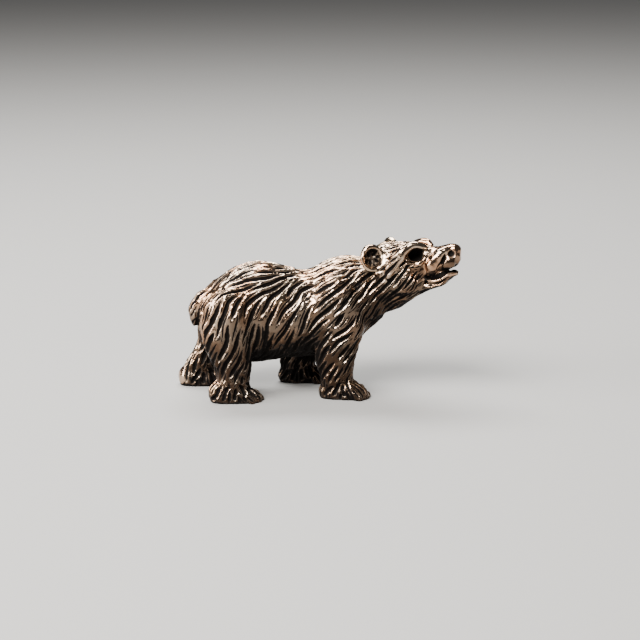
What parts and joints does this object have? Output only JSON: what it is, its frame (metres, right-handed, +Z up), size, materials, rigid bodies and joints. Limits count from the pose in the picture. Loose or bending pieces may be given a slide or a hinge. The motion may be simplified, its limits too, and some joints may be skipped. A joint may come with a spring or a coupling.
{
  "type": "bear figurine",
  "caption": "Small solid cast bronze bear walking on four legs, head raised and turned to its right with the mouth slightly open, coat cut in deep flowing locks.",
  "frame": {"origin": "on the resting plane, below the middle of the figure's length and width", "axes": "+X towards the bear's head, along its length; +Y towards its left side; +Z up"},
  "size_m": [0.042, 0.0145, 0.0239],
  "materials": {
    "bronze": "solid cast bronze, ridges of the coat hand polished to a warm copper-gold shine, hollows between the locks blackened"
  },
  "bodies": {
    "root": {"bear": "bronze"}
  },
  "joints": []
}
